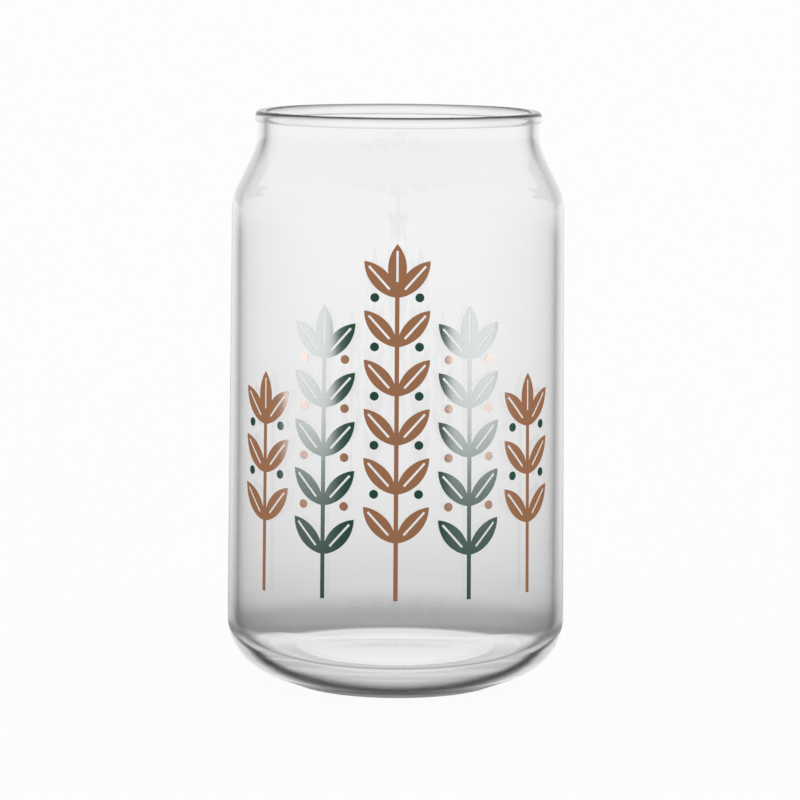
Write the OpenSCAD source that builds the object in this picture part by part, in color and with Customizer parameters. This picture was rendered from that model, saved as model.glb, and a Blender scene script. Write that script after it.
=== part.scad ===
// Can shaped drinking glass: one blown glass body with a fired print of leafy sprigs on its front.
// The glass stands on z = 0 with its axis on Z, and the print faces -Y.

/* [Body] */
// Height of the whole glass
glass_h = 132.6; // [122:0.2:150]
// Outside diameter at the widest place, just above the base corner
body_d = 78; // [74:0.5:86]
// Amount by which the body's diameter narrows on its way up to the shoulder
body_draft = 1.6; // [0:0.2:4]
// Wall thickness just above the base corner
base_wall = 2.35; // [1.6:0.05:3]
// Wall thickness of the neck, the shoulder and the top of the body
neck_wall = 1.9; // [1.4:0.05:2.4]

/* [Shoulder and neck] */
// Distance by which the neck lies further in than the top of the body
neck_inset = 5.9; // [5:0.1:9]
// Height of the straight neck between the shoulder and the rim's bead
neck_h = 2; // [0.5:0.5:8]
// Lean of the shoulder's straight stretch away from upright
shoulder_lean = 26; // [20:1:32]
// Radius of the outward curve that ends the body
shoulder_low_r = 11; // [6:0.5:12]
// Radius of the inward curve that runs into the neck
shoulder_top_r = 15; // [8:0.5:16]

/* [Rim] */
// Height of the bead round the rim
bead_h = 2.5; // [2.2:0.1:4]
// Distance by which the bead stands out from the neck
bead_proud = 0.6; // [0.4:0.05:1]
// Radius of the bead's lower edge
bead_edge_r = 0.35; // [0.1:0.05:0.4]

/* [Base] */
// Distance from the body's outside in to the flat ring that the glass stands on
foot_inset = 16.5; // [14:0.5:20]
// Width of that flat ring
foot_w = 3; // [1.5:0.5:6]
// Radius of the edge between the ring and the underside
foot_edge_r = 3; // [1:0.5:4]
// Slope of the underside between the ring and the base corner
underside_slope = 21; // [14:1:26]
// Radius of the base corner
corner_r = 14; // [10:0.5:15]
// Height of the hollow under the base at its middle
punt_h = 1.8; // [0.6:0.1:3]
// Height of the inside floor above the table
floor_h = 7; // [6:0.25:12]
// Radius between the inside wall and the inside floor
floor_corner_r = 9; // [8:0.5:16]

/* [Print] */
// Thickness of the fired print
print_t = 0.12; // [0.08:0.02:0.3]
// Height of the print's lowest edge above the table
print_z = 25; // [22:1:32]
// Distance round the wall from one sprig to the next
sprig_pitch = 17; // [16.5:0.5:20]
// Distance from the tip of the middle sprig up to the start of the shoulder
print_gap = 5; // [2:0.5:14]
// Distance by which the sprigs beside the middle one are shorter than it
side_drop = 14; // [0:1:18]
// Distance by which the outermost sprigs are shorter than those
outer_drop = 16; // [0:1:18]
// Width of a stem
stem_w = 1; // [0.6:0.1:1.4]
// Length of a leaf
leaf_l = 11; // [8:0.5:11.5]
// Width of a leaf
leaf_w = 4.2; // [3:0.2:4.8]
// Lean of a leaf away from its stem
leaf_lean = 42; // [39:1:50]
// Distance up the stem from one pair of leaves to the next
leaf_step = 11; // [10.5:0.5:13]
// Width of the bare vein along the middle of a leaf
vein_w = 0.5; // [0.3:0.1:0.8]
// Diameter of a berry
berry_d = 2; // [1.4:0.1:2.4]

/* [Hidden] */
$fn = 96;

glass_tint = [0.80, 0.87, 0.86, 0.45];
copper_tint = [0.65, 0.40, 0.27];
green_tint = [0.04, 0.30, 0.22];

// Steps along a small, a middling and a large arc of the outline
few = 6;
some = 10;
many = 16;

body_r = body_d / 2;
body_top_r = (body_d - body_draft) / 2;
neck_r = body_top_r - neck_inset;
neck_in_r = neck_r - neck_wall;
bead_r = neck_r + bead_proud;
lip_r = (bead_r - neck_in_r) / 2;
foot_r = body_r - foot_inset;

// Underside: the foot's edge, a cone and the base corner run into each other
edge_end = [foot_r + foot_edge_r * sin(underside_slope), foot_edge_r * (1 - cos(underside_slope))];
corner_start_r = body_r - corner_r + corner_r * sin(underside_slope);
corner_z = edge_end[1] + (corner_start_r - edge_end[0]) * tan(underside_slope) + corner_r * cos(underside_slope);

// Shoulder: a curve out of the body, a cone and a curve into the neck
shoulder_run = shoulder_low_r + shoulder_top_r;
shoulder_line = (neck_inset - shoulder_run * (1 - cos(shoulder_lean))) / sin(shoulder_lean);
shoulder_h = shoulder_run * sin(shoulder_lean) + shoulder_line * cos(shoulder_lean);
bead_z = glass_h - bead_h;
neck_z = bead_z - neck_h;
shoulder_z = neck_z - shoulder_h;

// Hollow under the base: a shallow dome inside the foot ring
punt_edge_r = foot_r - foot_w;
punt_r = (punt_edge_r * punt_edge_r + punt_h * punt_h) / (2 * punt_h);

// Heights of the sprigs, which end below the shoulder
middle_h = shoulder_z - print_gap - print_z;
side_h = middle_h - side_drop;
outer_h = side_h - outer_drop;

// Depth of the tool that stamps a sprig through the print's skin, from inside the wall to outside it
stamp_in = 6;
stamp_out = 2;
// Distance from the middle of a stem to the berries beside it
berry_out = 5;
// Share of a leaf's length that its vein takes
vein_share = 0.72;

function arc(centre, radius, first, last, steps) = [
    for (i = [0:steps])
        let (a = first + (last - first) * i / steps)
        [centre[0] + radius * cos(a), centre[1] + radius * sin(a)]
];

// Shoulder's outline, moved inwards by a wall's thickness
function shoulder(inset) = concat(
    arc([body_top_r - shoulder_low_r, shoulder_z], shoulder_low_r - inset, 0, shoulder_lean, some),
    arc([neck_r + shoulder_top_r, neck_z], shoulder_top_r + inset, 180 + shoulder_lean, 180, some)
);

function reversed(points) = [for (i = [len(points) - 1:-1:0]) points[i]];

// Radius of the body's outside at a height
function wall_r(z) = body_r + (body_top_r - body_r) * (z - corner_z) / (shoulder_z - corner_z);

// Outside of the glass, from the middle of the hollow under the base to the top of the lip
function outside() = concat(
    arc([0, punt_h - punt_r], punt_r, 90, acos(punt_edge_r / punt_r), some),
    arc([foot_r, foot_edge_r], foot_edge_r, -90, underside_slope - 90, few),
    arc([body_r - corner_r, corner_z], corner_r, underside_slope - 90, 0, many),
    shoulder(0),
    [[neck_r, bead_z]],
    arc([bead_r - bead_edge_r, bead_z + bead_edge_r], bead_edge_r, -90, 0, few)
);

// Inside of the glass, from the lip down to the middle of the floor
function inside() = concat(
    arc([neck_in_r + lip_r, glass_h - lip_r], lip_r, 0, 180, many),
    reversed(shoulder(neck_wall)),
    arc([body_r - base_wall - floor_corner_r, floor_h + floor_corner_r], floor_corner_r, 0, -90, many),
    [[0, floor_h]]
);

module leaf(length, width) {
    radius = (length * length + width * width) / (4 * width);
    difference() {
        intersection() {
            translate([radius - width / 2, length / 2]) circle(radius);
            translate([width / 2 - radius, length / 2]) circle(radius);
        }
        translate([-vein_w / 2, length * (1 - vein_share) / 2 + stem_w])
            square([vein_w, length * vein_share - stem_w]);
    }
}

// Number of leaf pairs that fit under the leaf at the tip
function pairs(height) = floor((height - leaf_l) / leaf_step);

// Height up the stem at which a pair of leaves starts, counted from the tip
function pair_y(height, i) = height - leaf_l - stem_w - i * leaf_step;

// A stem with leaves in pairs and one at its tip
module sprig(height) {
    translate([-stem_w / 2, 0])
        square([stem_w, height - leaf_l + stem_w]);
    translate([0, height - leaf_l])
        leaf(leaf_l, leaf_w);
    for (i = [0:1:pairs(height) - 1], side = [-1, 1])
        translate([0, pair_y(height, i)])
            rotate(-side * leaf_lean)
                leaf(leaf_l, leaf_w);
}

// The berries beside a stem, each halfway between two leaves
module berries(height) {
    for (i = [0:1:pairs(height) - 2], side = [-1, 1])
        translate([side * berry_out, pair_y(height, i) - leaf_step / 2 + berry_out / tan(leaf_lean)])
            circle(d = berry_d);
}

// Stamps a flat shape through the print's skin, at a distance round the wall from its middle
module stamp(place) {
    rotate(place / (PI * body_r) * 180)
        translate([0, stamp_in - body_r, print_z])
            rotate([90, 0, 0])
                linear_extrude(stamp_in + stamp_out)
                    children();
}

// The thin skin outside the wall that the whole print is part of
module print_skin() {
    low = print_z - 1;
    high = print_z + middle_h + 1;
    rotate_extrude()
        polygon([
            [wall_r(low), low],
            [wall_r(low) + print_t, low],
            [wall_r(high) + print_t, high],
            [wall_r(high), high]
        ]);
}

module glass_body() {
    color(glass_tint)
        rotate_extrude()
            polygon(concat(outside(), inside()));
}

module print_copper() {
    color(copper_tint)
        intersection() {
            print_skin();
            union() {
                stamp(0) sprig(middle_h);
                for (side = [-1, 1]) {
                    stamp(side * 2 * sprig_pitch) sprig(outer_h);
                    stamp(side * sprig_pitch) berries(side_h);
                }
            }
        }
}

module print_green() {
    color(green_tint)
        intersection() {
            print_skin();
            union() {
                stamp(0) berries(middle_h);
                for (side = [-1, 1]) {
                    stamp(side * sprig_pitch) sprig(side_h);
                    stamp(side * 2 * sprig_pitch) berries(outer_h);
                }
            }
        }
}

glass_body();
print_copper();
print_green();
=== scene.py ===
import math

import bmesh
import bpy
from mathutils import Matrix, Vector


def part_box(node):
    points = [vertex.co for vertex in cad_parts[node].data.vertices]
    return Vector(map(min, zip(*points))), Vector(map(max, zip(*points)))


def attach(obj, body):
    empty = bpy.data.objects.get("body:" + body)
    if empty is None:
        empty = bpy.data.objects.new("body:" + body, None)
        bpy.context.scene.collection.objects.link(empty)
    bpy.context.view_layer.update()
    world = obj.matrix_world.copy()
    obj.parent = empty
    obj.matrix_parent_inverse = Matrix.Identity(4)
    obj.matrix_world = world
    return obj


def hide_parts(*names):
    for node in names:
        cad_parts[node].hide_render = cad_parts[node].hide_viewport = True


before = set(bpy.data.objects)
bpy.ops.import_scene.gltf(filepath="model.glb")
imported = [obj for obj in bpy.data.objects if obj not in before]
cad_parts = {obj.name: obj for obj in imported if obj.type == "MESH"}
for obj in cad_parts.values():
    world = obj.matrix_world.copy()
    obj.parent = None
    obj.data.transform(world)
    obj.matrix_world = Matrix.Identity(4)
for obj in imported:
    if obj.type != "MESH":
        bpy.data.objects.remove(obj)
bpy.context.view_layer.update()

mm = 0.001
print("frame loaded:", sorted(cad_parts))

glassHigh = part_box("glass_body")[1]

# The glass in millimetres, from the hollow under the base up to the lip and down inside
glass = {
    "height": glassHigh.z / mm,
    "bodyRadius": glassHigh.x / mm,
    "topRadius": 38.2,
    "baseWall": 2.35,
    "neckWall": 1.9,
    "neckRadius": 32.3,
    "neckHeight": 2.0,
    "shoulderLean": 26.0,
    "shoulderLowRadius": 11.0,
    "shoulderTopRadius": 15.0,
    "beadHeight": 2.5,
    "beadProud": 0.6,
    "beadEdgeRadius": 0.35,
    "footRadius": 22.5,
    "footWidth": 3.0,
    "footEdgeRadius": 3.0,
    "undersideSlope": 21.0,
    "cornerRadius": 14.0,
    "puntHeight": 1.8,
    "floorHeight": 7.0,
    "floorCornerRadius": 9.0,
    # steps round the axis, and along small to large curves of the outline
    "roundSteps": 256,
    "edgeSteps": 6,
    "shoulderSteps": 12,
    "curveSteps": 14,
    "cornerSteps": 28,
    # a straight line longer than this has a short stretch at both ends, which keeps its shading true
    "longLine": 1.5,
    "shortStretch": 0.25,
    "mergeReach": 0.001,
    "sharpAngle": 40.0,
    # a level face's normal is this upright
    "levelNormal": 0.9,
    # faces that look at the axis are inside ones above this, and level faces that look up are below that
    "insideLow": 3.6,
    "floorHigh": 30.0,
}

# Which of the glass's materials a face has
outsideFace, insideFace, undersideFace = 0, 1, 2


def startAt(bm, x, z):
    return bm.verts.new((x * mm, 0, z * mm))


def lastVert(made):
    return [g for g in made["geom_last"] if isinstance(g, bmesh.types.BMVert)][0]


def lineTo(bm, tip, x, z):
    start = tip.co.copy()
    end = Vector((x * mm, 0, z * mm))
    length = (end - start).length
    shares = [1.0]
    if length > glass["longLine"] * mm:
        stretch = glass["shortStretch"] * mm / length
        shares = [stretch, 1 - stretch, 1.0]
    for share in shares:
        tip = bmesh.ops.extrude_vert_indiv(bm, verts=[tip])["verts"][0]
        tip.co = start.lerp(end, share)
    return tip


def turnAbout(bm, tip, x, z, degrees, steps):
    # positive turns run anticlockwise, seen with X to the right and Z up
    made = bmesh.ops.spin(
        bm, geom=[tip], cent=(x * mm, 0, z * mm), axis=(0, -1, 0), angle=math.radians(degrees), steps=steps
    )
    return lastVert(made)


def shoulderPlaces(g):
    lean = math.radians(g["shoulderLean"])
    run = g["shoulderLowRadius"] + g["shoulderTopRadius"]
    drop = g["topRadius"] - g["neckRadius"] - run * (1 - math.cos(lean))
    height = run * math.sin(lean) + drop / math.tan(lean)
    neckZ = g["height"] - g["beadHeight"] - g["neckHeight"]
    return neckZ - height, neckZ


def cornerPlace(g):
    slope = math.radians(g["undersideSlope"])
    edgeX = g["footRadius"] + g["footEdgeRadius"] * math.sin(slope)
    edgeZ = g["footEdgeRadius"] * (1 - math.cos(slope))
    startX = g["bodyRadius"] - g["cornerRadius"] * (1 - math.sin(slope))
    return edgeZ + (startX - edgeX) * math.tan(slope) + g["cornerRadius"] * math.cos(slope)


def makeGlassBody():
    g = glass
    bm = bmesh.new()
    slope, lean = g["undersideSlope"], g["shoulderLean"]
    leanRad = math.radians(lean)
    puntEdge = g["footRadius"] - g["footWidth"]
    puntRadius = (puntEdge ** 2 + g["puntHeight"] ** 2) / (2 * g["puntHeight"])
    puntTurn = math.degrees(math.asin(puntEdge / puntRadius))
    cornerZ = cornerPlace(g)
    shoulderZ, neckZ = shoulderPlaces(g)
    beadZ = g["height"] - g["beadHeight"]
    neckIn = g["neckRadius"] - g["neckWall"]
    beadRadius = g["neckRadius"] + g["beadProud"]
    lip = (beadRadius - neckIn) / 2
    edge = g["beadEdgeRadius"]
    lowCentre = g["topRadius"] - g["shoulderLowRadius"]
    topCentre = g["neckRadius"] + g["shoulderTopRadius"]

    # outside: hollow, foot ring, underside and base corner
    tip = startAt(bm, 0, g["puntHeight"])
    tip = turnAbout(bm, tip, 0, g["puntHeight"] - puntRadius, -puntTurn, g["curveSteps"])
    tip = lineTo(bm, tip, g["footRadius"], 0)
    tip = turnAbout(bm, tip, g["footRadius"], g["footEdgeRadius"], slope, g["edgeSteps"])
    cornerX = g["bodyRadius"] - g["cornerRadius"]
    fall = math.radians(slope - 90)
    startX = cornerX + g["cornerRadius"] * math.cos(fall)
    tip = lineTo(bm, tip, startX, cornerZ + g["cornerRadius"] * math.sin(fall))
    tip = turnAbout(bm, tip, cornerX, cornerZ, 90 - slope, g["cornerSteps"])
    # body, shoulder, neck and bead
    tip = lineTo(bm, tip, g["topRadius"], shoulderZ)
    tip = turnAbout(bm, tip, lowCentre, shoulderZ, lean, g["shoulderSteps"])
    reach = g["shoulderTopRadius"]
    tip = lineTo(bm, tip, topCentre - reach * math.cos(leanRad), neckZ - reach * math.sin(leanRad))
    tip = turnAbout(bm, tip, topCentre, neckZ, -lean, g["curveSteps"])
    tip = lineTo(bm, tip, g["neckRadius"], beadZ)
    tip = lineTo(bm, tip, beadRadius - edge, beadZ)
    tip = turnAbout(bm, tip, beadRadius - edge, beadZ + edge, 90, g["edgeSteps"])
    tip = lineTo(bm, tip, beadRadius, g["height"] - lip)
    tip = turnAbout(bm, tip, beadRadius - lip, g["height"] - lip, 90, g["curveSteps"])
    # inside: lip, neck, shoulder, wall, floor corner and floor
    tip = turnAbout(bm, tip, beadRadius - lip, g["height"] - lip, 90, g["curveSteps"])
    tip = lineTo(bm, tip, neckIn, neckZ)
    tip = turnAbout(bm, tip, topCentre, neckZ, lean, g["curveSteps"])
    reach = g["shoulderLowRadius"] - g["neckWall"]
    tip = lineTo(bm, tip, lowCentre + reach * math.cos(leanRad), shoulderZ + reach * math.sin(leanRad))
    tip = turnAbout(bm, tip, lowCentre, shoulderZ, -lean, g["shoulderSteps"])
    floorX = g["bodyRadius"] - g["baseWall"] - g["floorCornerRadius"]
    floorZ = g["floorHeight"] + g["floorCornerRadius"]
    tip = lineTo(bm, tip, floorX + g["floorCornerRadius"], floorZ)
    tip = turnAbout(bm, tip, floorX, floorZ, -90, g["cornerSteps"])
    lineTo(bm, tip, 0, g["floorHeight"])

    bmesh.ops.spin(
        bm, geom=bm.verts[:] + bm.edges[:], cent=(0, 0, 0), axis=(0, 0, 1),
        angle=2 * math.pi, steps=g["roundSteps"], use_merge=True,
    )
    bmesh.ops.remove_doubles(bm, verts=bm.verts, dist=g["mergeReach"] * mm)
    bmesh.ops.recalc_face_normals(bm, faces=bm.faces)
    for f in bm.faces:
        f.smooth = True
        f.material_index = insideFace if isInside(f) else outsideFace
        if f.normal.z < -g["levelNormal"]:
            f.material_index = undersideFace
    for e in bm.edges:
        e.smooth = len(e.link_faces) < 2 or math.degrees(e.calc_face_angle()) < g["sharpAngle"]
    return newPiece("glassBody", bm)


def isInside(face):
    # faces that look at the axis or lie on the inside floor
    middle = face.calc_center_median()
    if face.normal.x * middle.x + face.normal.y * middle.y < 0:
        return middle.z > glass["insideLow"] * mm
    return face.normal.z > glass["levelNormal"] and middle.z < glass["floorHigh"] * mm


def newPiece(name, bm):
    mesh = bpy.data.meshes.new(name)
    bm.to_mesh(mesh)
    bm.free()
    obj = bpy.data.objects.new(name, mesh)
    bpy.context.scene.collection.objects.link(obj)
    return obj


# The fired print in millimetres: sprigs on the front of the wall, half sunk into the glass's skin
printed = {
    "low": 25.0,
    "pitch": 17.0,
    "middleHeight": 80.0,
    "sideHeight": 66.0,
    "outerHeight": 50.0,
    "stem": 1.0,
    "leafLength": 11.0,
    "leafWidth": 4.2,
    "leafLean": 42.0,
    "leafStep": 11.0,
    "leafSteps": 16,
    "vein": 0.5,
    "veinShare": 0.72,
    "berry": 2.0,
    "berryOut": 5.0,
    "berrySteps": 28,
    "proud": 0.06,
    "sunk": 0.03,
    # the leaf at a tip lies this much over the pair below it
    "tipLift": 0.006,
    # width of the upright strips that bend round the wall
    "strip": 0.6,
    "mergeReach": 0.0001,
    # faces that look in at the axis by more than this lie in the glass
    "inward": -0.5,
}


def wallRadius(z):
    cornerZ = cornerPlace(glass)
    shoulderZ = shoulderPlaces(glass)[0]
    share = (z - cornerZ) / (shoulderZ - cornerZ)
    return glass["bodyRadius"] + (glass["topRadius"] - glass["bodyRadius"]) * share


def cutAt(bm, place, across, dropInner=False):
    geom = bm.verts[:] + bm.edges[:] + bm.faces[:]
    bmesh.ops.bisect_plane(bm, geom=geom, plane_co=place, plane_no=across, clear_inner=dropInner)


def addLeaf(bm, place, turn, trimPlace, trimAcross):
    p = printed
    length, width = p["leafLength"], p["leafWidth"]
    radius = (length ** 2 + width ** 2) / (4 * width)
    turned = 2 * math.asin(length / 2 / radius)
    leaf = bmesh.new()
    tip = leaf.verts.new((0, 0, 0))
    for side in (1, -1):
        centre = (side * (width / 2 - radius), length / 2, 0)
        made = bmesh.ops.spin(
            leaf, geom=[tip], cent=centre, axis=(0, 0, 1), angle=turned, steps=p["leafSteps"]
        )
        tip = lastVert(made)
    bmesh.ops.remove_doubles(leaf, verts=leaf.verts, dist=p["mergeReach"])
    bmesh.ops.contextual_create(leaf, geom=leaf.edges[:])
    # bare vein along the middle
    veinLow = length * (1 - p["veinShare"]) / 2 + p["stem"]
    veinHigh = length * (1 + p["veinShare"]) / 2
    for x in (-p["vein"] / 2, p["vein"] / 2):
        cutAt(leaf, (x, 0, 0), (1, 0, 0))
    for y in (veinLow, veinHigh):
        cutAt(leaf, (0, y, 0), (0, 1, 0))
    slit = []
    for f in leaf.faces:
        middle = f.calc_center_median()
        if abs(middle.x) < p["vein"] / 2 and veinLow < middle.y < veinHigh:
            slit.append(f)
    bmesh.ops.delete(leaf, geom=slit, context="FACES")
    placed = Matrix.Translation(place) @ Matrix.Rotation(turn, 4, "Z")
    bmesh.ops.transform(leaf, matrix=placed, verts=leaf.verts)
    # its foot ends where the stem begins
    cutAt(leaf, trimPlace, trimAcross, dropInner=True)
    addCopy(bm, leaf)


def addCopy(bm, other):
    mesh = bpy.data.meshes.new("flat")
    other.to_mesh(mesh)
    other.free()
    bm.from_mesh(mesh)
    bpy.data.meshes.remove(mesh)


def pairCount(height):
    return int((height - printed["leafLength"]) // printed["leafStep"])


def pairHeight(height, i):
    return height - printed["leafLength"] - printed["stem"] - i * printed["leafStep"]


def addSprig(bm, height):
    p = printed
    stemTop = height - p["leafLength"] + p["stem"]
    stem = bmesh.new()
    bmesh.ops.create_grid(stem, x_segments=1, y_segments=1, size=0.5)
    shaped = Matrix.Translation((0, stemTop / 2, 0)) @ Matrix.Diagonal((p["stem"], stemTop, 1, 1))
    bmesh.ops.transform(stem, matrix=shaped, verts=stem.verts)
    addCopy(bm, stem)
    addLeaf(bm, (0, height - p["leafLength"], p["tipLift"]), 0, (0, stemTop, 0), (0, 1, 0))
    for i in range(pairCount(height)):
        for side in (-1, 1):
            turn = -side * math.radians(p["leafLean"])
            addLeaf(bm, (0, pairHeight(height, i), 0), turn, (side * p["stem"] / 2, 0, 0), (side, 0, 0))


def addBerries(bm, height):
    p = printed
    lift = p["berryOut"] / math.tan(math.radians(p["leafLean"])) - p["leafStep"] / 2
    for i in range(pairCount(height) - 1):
        for side in (-1, 1):
            berry = bmesh.new()
            bmesh.ops.create_circle(berry, cap_ends=True, radius=p["berry"] / 2, segments=p["berrySteps"])
            place = (side * p["berryOut"], pairHeight(height, i) + lift, 0)
            bmesh.ops.translate(berry, vec=place, verts=berry.verts)
            addCopy(bm, berry)


def makePrint(name, layout):
    # layout: what to draw, its height and its distance round the wall
    p = printed
    whole = bmesh.new()
    strips = int(p["leafLength"] / p["strip"])
    for draw, height, place in layout:
        flat = bmesh.new()
        draw(flat, height)
        for k in range(-strips, strips + 1):
            cutAt(flat, (k * p["strip"], 0, 0), (1, 0, 0))
        bmesh.ops.recalc_face_normals(flat, faces=flat.faces)
        for f in flat.faces:
            if f.normal.z < 0:
                f.normal_flip()
        outer = bmesh.ops.extrude_face_region(flat, geom=flat.faces[:])["geom"]
        raised = {g for g in outer if isinstance(g, bmesh.types.BMVert)}
        turn = place / glass["bodyRadius"]
        for v in flat.verts:
            z = p["low"] + v.co.y
            radius = wallRadius(z)
            angle = turn + math.asin(v.co.x / radius)
            radius += v.co.z + (p["proud"] if v in raised else -p["sunk"])
            v.co = (radius * math.sin(angle) * mm, -radius * math.cos(angle) * mm, z * mm)
        addCopy(whole, flat)
    bmesh.ops.recalc_face_normals(whole, faces=whole.faces)
    for f in whole.faces:
        outward = f.calc_center_median()
        outward.z = 0
        f.material_index = int(f.normal.dot(outward.normalized()) < p["inward"])
    return newPiece(name, whole)


def copperLayout():
    p = printed
    layout = [(addSprig, p["middleHeight"], 0)]
    for side in (-1, 1):
        layout.append((addSprig, p["outerHeight"], side * 2 * p["pitch"]))
        layout.append((addBerries, p["sideHeight"], side * p["pitch"]))
    return layout


def greenLayout():
    p = printed
    layout = [(addBerries, p["middleHeight"], 0)]
    for side in (-1, 1):
        layout.append((addSprig, p["sideHeight"], side * p["pitch"]))
        layout.append((addBerries, p["outerHeight"], side * 2 * p["pitch"]))
    return layout


# How the glass looks, with painted shade in its colour for dark lines and bands. Stops hold a slant, at
# which a ray meets the glass, and a level.
# Shares hold a height in millimetres and how much of those stops shows there.
clear = {
    "ior": 1.5,
    "stipple": 0.3,
    "lampTint": (0.93, 0.95, 0.95, 1),
    "slantBlend": 0.5,
    # painted shade: thin dark line along both sides, on the inside of the wall
    "wallStops": [
        (0.0, 1.0), (0.195, 0.99), (0.22, 0.93), (0.235, 0.82), (0.247, 0.62), (0.2545, 0.4), (0.262, 0.58),
        (0.275, 0.85), (0.29, 1.0), (1.0, 1.0),
    ],
    "wallShare": [(0.0, 1.0), (104.0, 1.0), (111.0, 0.45), (120.0, 0.45), (125.5, 1.0)],
    # faint shade towards the sides of the body
    "sideStops": [
        (0.0, 1.0), (0.12, 1.0), (0.3, 0.955), (0.4, 0.925), (0.47, 0.895), (0.55, 0.9), (0.6, 0.92),
        (0.66, 0.97), (0.7, 1.0), (1.0, 1.0),
    ],
    "sideShare": [(18.0, 0.0), (24.0, 1.0), (108.0, 1.0), (116.0, 0.0)],
    # painted shade on the wall just above the thick base
    "lowWallStops": [
        (0.0, 1.0), (0.2, 0.98), (0.3, 0.86), (0.4, 0.72), (0.5, 0.62), (0.65, 0.6), (0.69, 0.75),
        (0.76, 0.98), (1.0, 1.0),
    ],
    "lowWallShare": [
        (14.5, 0.0), (15.5, 0.8), (16.5, 1.0), (18.0, 0.9), (20.0, 0.55), (22.0, 0.2), (24.5, 0.0),
    ],
    # painted shade at the outermost place between that wall and the crescent
    "bendStops": [(0.0, 1.0), (0.54, 1.0), (0.6, 0.75), (0.66, 0.46), (0.72, 0.42), (0.8, 0.4), (1.0, 0.4)],
    "bendShare": [
        (12.4, 0.0), (13.0, 0.75), (13.7, 1.0), (14.3, 0.9), (14.8, 0.55), (15.3, 0.2), (15.8, 0.0),
    ],
    # painted shade: dark crescent round the base, low down and higher up, where it is narrower, and how far
    # it moves out
    "crescentLow": [
        (0.0, 1.0), (0.36, 1.0), (0.4, 0.95), (0.44, 0.8), (0.48, 0.65), (0.52, 0.42), (0.56, 0.2),
        (0.6, 0.12), (0.64, 0.19), (0.68, 0.38), (0.72, 0.7), (0.76, 0.95), (0.8, 1.0), (1.0, 1.0),
    ],
    "crescentHigh": [
        (0.0, 1.0), (0.44, 1.0), (0.5, 0.95), (0.53, 0.72), (0.56, 0.32), (0.6, 0.11), (0.64, 0.24),
        (0.68, 0.58), (0.72, 0.95), (0.76, 1.0), (1.0, 1.0),
    ],
    "crescentNarrow": [(6.3, 0.0), (8.5, 1.0)],
    "crescentShift": [
        (0.0, 0.26), (2.0, 0.19), (3.0, 0.12), (4.0, 0.065), (5.0, 0.02), (6.0, 0.0), (10.4, 0.0),
        (11.0, 0.06), (12.0, 0.14), (13.0, 0.2),
    ],
    "crescentShare": [
        (0.0, 0.35), (1.0, 0.45), (2.2, 1.0), (10.6, 1.0), (11.4, 0.7), (12.6, 0.5), (13.4, 0.0),
    ],
    # painted shade on the lip: grey level by how far its face looks up, how much of it shows by slant, and
    # where it starts
    "lipOutStops": [
        (0.0, 245), (0.2, 240), (0.4, 230), (0.5, 208), (0.63, 188), (0.72, 150), (0.85, 112), (1.0, 130),
    ],
    "lipInStops": [(0.0, 248), (0.3, 240), (0.5, 231), (0.68, 213), (0.86, 190), (1.0, 174)],
    "lipSlant": [(0.0, 0.0), (0.1, 0.0), (0.3, 1.0), (0.62, 1.0), (0.72, 0.0), (1.0, 0.0)],
    "lipShare": [(129.9, 0.0), (130.5, 1.0)],
}


def newMaterial(name):
    mat = bpy.data.materials.new(name)
    mat.use_nodes = True
    tree = mat.node_tree
    tree.nodes.clear()
    return mat, tree, tree.nodes.new("ShaderNodeOutputMaterial")


def addNode(tree, kind, **inputs):
    node = tree.nodes.new(kind)
    for name, value in inputs.items():
        node.inputs[name].default_value = value
    return node


def feed(tree, value, socket):
    # another node's output is linked to the socket, and anything else is set on it
    if isinstance(value, bpy.types.NodeSocket):
        tree.links.new(value, socket)
    else:
        socket.default_value = value


def mathNode(tree, operation, first, second=0.0, clamp=False):
    node = tree.nodes.new("ShaderNodeMath")
    node.operation = operation
    node.use_clamp = clamp
    feed(tree, first, node.inputs[0])
    feed(tree, second, node.inputs[1])
    return node.outputs[0]


def vectorNode(tree, operation, *sources):
    node = tree.nodes.new("ShaderNodeVectorMath")
    node.operation = operation
    for i, source in enumerate(sources):
        tree.links.new(source, node.inputs[i])
    return node


def mixShaders(tree, share, first, second):
    mix = tree.nodes.new("ShaderNodeMixShader")
    feed(tree, share, mix.inputs[0])
    tree.links.new(first.outputs[0], mix.inputs[1])
    tree.links.new(second.outputs[0], mix.inputs[2])
    return mix


def mixLevels(tree, share, first, second, blend="MIX"):
    # each level is a number or another node's output
    mix = tree.nodes.new("ShaderNodeMix")
    mix.data_type = "RGBA"
    mix.blend_type = blend
    feed(tree, share, mix.inputs[0])
    # its two colours
    for i, level in ((6, first), (7, second)):
        feed(tree, (level, level, level, 1) if isinstance(level, float) else level, mix.inputs[i])
    return mix.outputs[2]


def makeRamp(tree, source, stops):
    ramp = tree.nodes.new("ShaderNodeValToRGB")
    while len(ramp.color_ramp.elements) < len(stops):
        ramp.color_ramp.elements.new(0.5)
    for element, (at, level) in zip(ramp.color_ramp.elements, stops):
        element.position = at
        element.color = (level, level, level, 1)
    tree.links.new(source, ramp.inputs[0])
    return ramp.outputs[0]


def byHeight(tree, stops):
    # a level by height, from stops in millimetres
    place = tree.nodes.new("ShaderNodeTexCoord")
    split = tree.nodes.new("ShaderNodeSeparateXYZ")
    tree.links.new(place.outputs["Object"], split.inputs[0])
    share = mathNode(tree, "DIVIDE", split.outputs["Z"], glass["height"] * mm)
    return makeRamp(tree, share, [(h / glass["height"], level) for h, level in stops])


def fromScreen(grey):
    # the linear level of a grey on the screen, by the curve of sRGB
    return ((grey / 255 + 0.055) / 1.055) ** 2.4


def throughLamps(tree, shader, out):
    # lamps reach the floor through the glass
    path = tree.nodes.new("ShaderNodeLightPath")
    through = addNode(tree, "ShaderNodeBsdfTransparent", Color=clear["lampTint"])
    mix = mixShaders(tree, path.outputs["Is Shadow Ray"], shader, through)
    tree.links.new(mix.outputs[0], out.inputs["Surface"])


def glassShader(tree, roughness):
    return addNode(tree, "ShaderNodeBsdfGlass", Roughness=roughness, IOR=clear["ior"])


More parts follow.
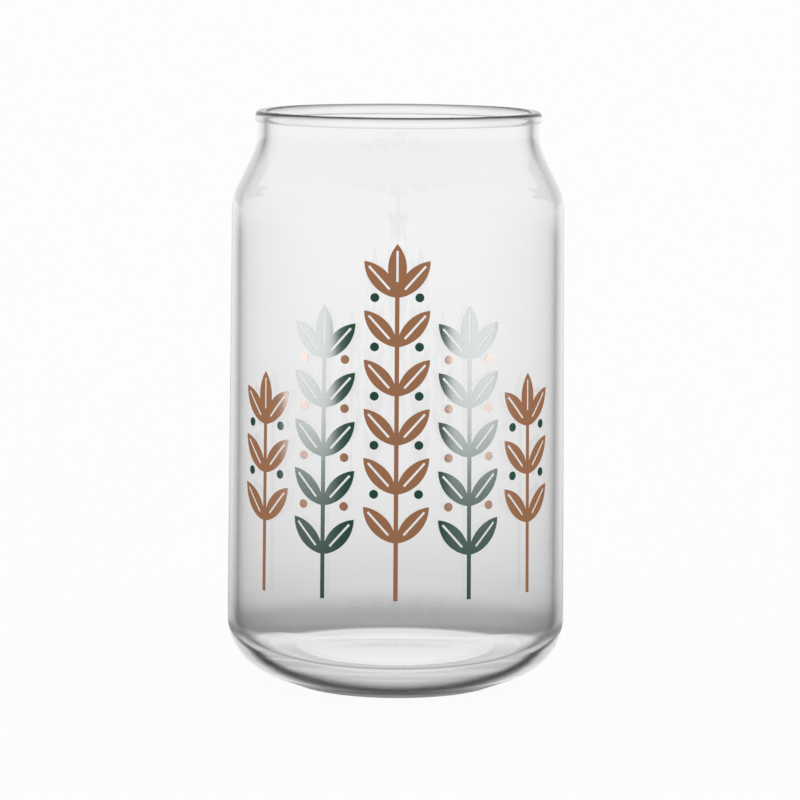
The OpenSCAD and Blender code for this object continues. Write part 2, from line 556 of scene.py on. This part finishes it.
def glassInputs(tree):
    # slant of the ray, whether it comes from outside, and the surface's own values
    slant = addNode(tree, "ShaderNodeLayerWeight", Blend=clear["slantBlend"])
    surface = tree.nodes.new("ShaderNodeNewGeometry")
    entering = mathNode(tree, "SUBTRACT", 1.0, surface.outputs["Backfacing"])
    return slant.outputs["Facing"], entering, surface


def paintedShade(tree, slant, part, when):
    # painted shade from a part's own stops and share, for rays on one side of the surface
    share = mathNode(tree, "MULTIPLY", byHeight(tree, clear[part + "Share"]), when)
    return mixLevels(tree, share, 1.0, makeRamp(tree, slant, clear[part + "Stops"]))


def crescent(tree, slant, entering):
    # painted shade: a dark crescent round the base, by slant and height
    moved = mathNode(tree, "SUBTRACT", slant, byHeight(tree, clear["crescentShift"]))
    low = makeRamp(tree, moved, clear["crescentLow"])
    high = makeRamp(tree, moved, clear["crescentHigh"])
    level = mixLevels(tree, byHeight(tree, clear["crescentNarrow"]), low, high)
    share = mathNode(tree, "MULTIPLY", byHeight(tree, clear["crescentShare"]), entering)
    return mixLevels(tree, share, 1.0, level)


def paintedLipShade(tree, slant, entering, surface, stops):
    # painted shade on the lip, darker where its face looks up
    upward = tree.nodes.new("ShaderNodeSeparateXYZ")
    tree.links.new(surface.outputs["Normal"], upward.inputs[0])
    share = mathNode(tree, "MULTIPLY", byHeight(tree, clear["lipShare"]), entering)
    share = mathNode(tree, "MULTIPLY", share, makeRamp(tree, slant, clear["lipSlant"]))
    level = makeRamp(tree, upward.outputs["Z"], [(at, fromScreen(grey)) for at, grey in stops])
    return mixLevels(tree, share, 1.0, level)


def makeOutside():
    mat, tree, out = newMaterial("clearGlass")
    shader = glassShader(tree, 0)
    slant, entering, surface = glassInputs(tree)
    # the glass's colour carries painted shade: crescent, low wall, bend, sides and lip
    level = crescent(tree, slant, entering)
    for part in ("lowWall", "bend", "side"):
        level = mixLevels(tree, 1.0, level, paintedShade(tree, slant, part, entering), "MULTIPLY")
    lip = paintedLipShade(tree, slant, entering, surface, clear["lipOutStops"])
    tree.links.new(mixLevels(tree, 1.0, level, lip, "MULTIPLY"), shader.inputs["Color"])
    throughLamps(tree, shader, out)
    return mat


def makeInside():
    mat, tree, out = newMaterial("clearGlassInside")
    shader = glassShader(tree, 0)
    slant, entering, surface = glassInputs(tree)
    # painted shade: a thin dark line inside the wall, and the lip
    level = paintedShade(tree, slant, "wall", surface.outputs["Backfacing"])
    lip = paintedLipShade(tree, slant, entering, surface, clear["lipInStops"])
    tree.links.new(mixLevels(tree, 1.0, level, lip, "MULTIPLY"), shader.inputs["Color"])
    throughLamps(tree, shader, out)
    return mat


def makeUnderside():
    # the stippled face that the glass stands on, with the painted shade of the crescent in its colour
    mat, tree, out = newMaterial("clearGlassUnder")
    shader = glassShader(tree, clear["stipple"])
    slant, entering, surface = glassInputs(tree)
    tree.links.new(crescent(tree, slant, entering), shader.inputs["Color"])
    throughLamps(tree, shader, out)
    return mat


# The print's enamel: its two colours, glossy outside and matt where it is fused to the glass
enamel = {
    "copper": (0.2, 0.085, 0.035, 1),
    "green": (0.001, 0.035, 0.02, 1),
    "outside": {"Roughness": 0.2, "IOR": 2.2, "Specular IOR Level": 0.5},
    "fused": {"Roughness": 0.9, "IOR": 1.5, "Specular IOR Level": 0.0},
}


def coat(piece, name, colour):
    for side, finish in (("", enamel["outside"]), ("Back", enamel["fused"])):
        mat, tree, out = newMaterial(name + side)
        shader = tree.nodes.new("ShaderNodeBsdfPrincipled")
        shader.inputs["Base Color"].default_value = colour
        for socket, value in finish.items():
            shader.inputs[socket].default_value = value
        tree.links.new(shader.outputs[0], out.inputs["Surface"])
        piece.data.materials.append(mat)


# The studio in metres
studio = {
    "distance": 1.0,
    "elevation": 6.76,
    "aimZ": 0.0657,
    "aimX": 0.00074,
    "roll": 0.38,
    "pixelsPerMetre": 4324,
    "pictureWidth": 800,
    "sensor": 36,
    "clip": (0.01, 100),
    "floorRadius": 12.0,
    "floorSteps": 96,
    "floorColour": (0.97, 0.97, 0.97, 1),
    "shadowShare": 0.06,
    # strengths of the world: for the camera, the glass, plain surfaces and the print's gloss
    "white": 1.0,
    "walls": 0.93,
    "ambient": 0.9,
    "dim": 0.03,
    # painted shade that the glass shows of the floor, darkest near the glass: distance from the middle in
    # millimetres and grey level
    "floorShades": [
        (38, 128), (43, 132), (45, 141), (48, 148), (52, 153), (60, 156), (66, 158), (74, 167), (84, 181),
        (97, 192), (115, 202), (137, 209), (165, 215), (200, 220), (245, 225), (300, 228), (365, 232),
        (450, 234), (560, 235), (700, 239), (900, 240), (1150, 242), (1500, 243), (2100, 244),
    ],
    # painted light: a bright disc under the glass: its grey level, and how far it has given way to the
    # shades above
    "discShade": 229,
    "discReach": 140,
    "discEdge": [(0, 0.0), (37.5, 0.0), (39.5, 0.6), (42, 1.0), (140, 1.0)],
    # how far a reflection shows plain white by distance; so does a ray that has met the glass this often
    "whiteEdge": [(0, 1.0), (80, 1.0), (130, 0.0), (140, 0.0)],
    "deepest": 5.5,
    # how much of the floor the print mirrors
    "mirrored": 0.05,
    "lampReach": 0.28,
    "lampSize": (0.19, 0.3),
    "lampHeight": 0.18,
    "lampWatts": 0.95,
    "leftAngle": -59,
    "rightAngle": 52,
    "bounces": 80,
    "glossyBounces": 40,
}


def makeCamera():
    s = studio
    elevation = math.radians(s["elevation"])
    aim = Vector((s["aimX"], 0, s["aimZ"]))
    back = Vector((0, -math.cos(elevation), math.sin(elevation)))
    camera = bpy.data.objects.new("camera", bpy.data.cameras.new("camera"))
    bpy.context.scene.collection.objects.link(camera)
    camera.data.sensor_width = s["sensor"]
    camera.data.lens = s["pixelsPerMetre"] * s["distance"] / s["pictureWidth"] * s["sensor"]
    camera.data.clip_start, camera.data.clip_end = s["clip"]
    turn = (-back).to_track_quat("-Z", "Y").to_matrix().to_4x4()
    roll = Matrix.Rotation(math.radians(s["roll"]), 4, "Z")
    camera.matrix_world = Matrix.Translation(aim + back * s["distance"]) @ turn @ roll
    bpy.context.scene.camera = camera


def floorLevel(tree, path):
    # what a ray through the glass sees: painted shade by distance, with a painted bright disc under the
    # glass
    s = studio
    place = tree.nodes.new("ShaderNodeTexCoord").outputs["Object"]
    # distance over rounded squares: the fourth root of x to the fourth plus y to the fourth
    squared = vectorNode(tree, "MULTIPLY", place, place)
    reach = mathNode(tree, "SQRT", vectorNode(tree, "LENGTH", squared.outputs[0]).outputs["Value"])
    near, last = s["floorShades"][0][0] * mm, s["floorShades"][-1][0] * mm
    far = mathNode(tree, "LOGARITHM", mathNode(tree, "DIVIDE", reach, near), last / near)
    stops = [(math.log(r * mm / near, last / near), fromScreen(grey)) for r, grey in s["floorShades"]]
    across = vectorNode(tree, "LENGTH", place).outputs["Value"]
    disc = mathNode(tree, "DIVIDE", across, s["discReach"] * mm)
    beyond = makeRamp(tree, disc, [(r / s["discReach"], share) for r, share in s["discEdge"]])
    close = makeRamp(tree, disc, [(r / s["discReach"], share) for r, share in s["whiteEdge"]])
    shades = mixLevels(tree, beyond, fromScreen(s["discShade"]), makeRamp(tree, far, stops))
    # plain white for rays through the stipple, for deep ones and for reflections near the glass
    sharp = mathNode(tree, "LESS_THAN", path.outputs["Ray Depth"], s["deepest"])
    sharp = mathNode(tree, "MULTIPLY", sharp, path.outputs["Is Singular Ray"])
    close = mathNode(tree, "MULTIPLY", close, path.outputs["Is Reflection Ray"])
    return mixLevels(tree, mathNode(tree, "SUBTRACT", sharp, close, clamp=True), 1.0, shades)


def makeFloor():
    s = studio
    bm = bmesh.new()
    bmesh.ops.create_circle(bm, cap_ends=True, radius=s["floorRadius"], segments=s["floorSteps"])
    floor = newPiece("floor", bm)
    mat, tree, out = newMaterial("paleFloor")
    path = tree.nodes.new("ShaderNodeLightPath")
    # the floor's painted shade and bright disc, which rays through the glass see
    shade = addNode(tree, "ShaderNodeEmission", Strength=1.0)
    tree.links.new(floorLevel(tree, path), shade.inputs["Color"])
    # what the camera sees: white, with the glass's faint shadow; the print mirrors little of it
    white = tree.nodes.new("ShaderNodeEmission")
    lost = mathNode(tree, "MULTIPLY", path.outputs["Is Glossy Ray"], 1 - s["mirrored"])
    tree.links.new(mathNode(tree, "SUBTRACT", 1.0, lost), white.inputs["Strength"])
    lit = addNode(tree, "ShaderNodeBsdfDiffuse", Color=s["floorColour"])
    shown = mixShaders(tree, s["shadowShare"], white, lit)
    through = mathNode(tree, "MAXIMUM", path.outputs["Is Transmission Ray"], path.outputs["Is Singular Ray"])
    through = mathNode(tree, "SUBTRACT", through, path.outputs["Is Camera Ray"], clamp=True)
    mix = mixShaders(tree, through, shown, shade)
    tree.links.new(mix.outputs[0], out.inputs["Surface"])
    floor.data.materials.append(mat)


def makeWorld():
    world = bpy.data.worlds.new("studioWalls")
    bpy.context.scene.world = world
    world.use_nodes = True
    tree = world.node_tree
    tree.nodes.clear()
    out = tree.nodes.new("ShaderNodeOutputWorld")
    path = tree.nodes.new("ShaderNodeLightPath")
    white = addNode(tree, "ShaderNodeBackground", Strength=studio["white"])
    walls = addNode(tree, "ShaderNodeBackground", Strength=studio["walls"])
    ambient = addNode(tree, "ShaderNodeBackground", Strength=studio["ambient"])
    dim = addNode(tree, "ShaderNodeBackground", Strength=studio["dim"])
    through = mathNode(tree, "MAXIMUM", path.outputs["Is Singular Ray"], path.outputs["Is Transmission Ray"])
    seen = mixShaders(tree, path.outputs["Is Glossy Ray"], ambient, dim)
    seen = mixShaders(tree, through, seen, walls)
    seen = mixShaders(tree, path.outputs["Is Camera Ray"], seen, white)
    tree.links.new(seen.outputs[0], out.inputs["Surface"])
    world.cycles.sampling_method = "NONE"


def makeSideLamp(name, azimuth, receivers):
    # a tall soft lamp beside the camera, which only the print mirrors
    s = studio
    lamp = bpy.data.lights.new(name, "AREA")
    lamp.shape = "RECTANGLE"
    lamp.size, lamp.size_y = s["lampSize"]
    lamp.energy = s["lampWatts"]
    obj = bpy.data.objects.new(name, lamp)
    bpy.context.scene.collection.objects.link(obj)
    angle = math.radians(azimuth)
    place = Vector((s["lampReach"] * math.sin(angle), -s["lampReach"] * math.cos(angle), s["lampHeight"]))
    aim = Vector((0, 0, s["lampHeight"])) - place
    obj.matrix_world = Matrix.Translation(place) @ aim.to_track_quat("-Z", "Y").to_matrix().to_4x4()
    obj.visible_camera = False
    obj.light_linking.receiver_collection = receivers


makeCamera()
body = makeGlassBody()
for mat in (makeOutside(), makeInside(), makeUnderside()):
    body.data.materials.append(mat)
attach(body, "root")
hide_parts("glass_body")
print("glass:", len(body.data.polygons), "faces")

copper = makePrint("printCopper", copperLayout())
coat(copper, "copperEnamel", enamel["copper"])
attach(copper, "root")
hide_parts("print_copper")

green = makePrint("printGreen", greenLayout())
coat(green, "greenEnamel", enamel["green"])
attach(green, "root")
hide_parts("print_green")
print("print:", len(copper.data.polygons), "and", len(green.data.polygons), "faces")

makeFloor()
makeWorld()
printOnly = bpy.data.collections.new("printOnly")
for piece in (copper, green):
    printOnly.objects.link(piece)
makeSideLamp("leftLamp", studio["leftAngle"], printOnly)
makeSideLamp("rightLamp", studio["rightAngle"], printOnly)
bpy.context.scene.view_settings.view_transform = "Standard"
cycles = bpy.context.scene.cycles
cycles.max_bounces = studio["bounces"]
cycles.transmission_bounces = studio["bounces"]
cycles.glossy_bounces = studio["glossyBounces"]
print("studio: floor, world and lamps made")
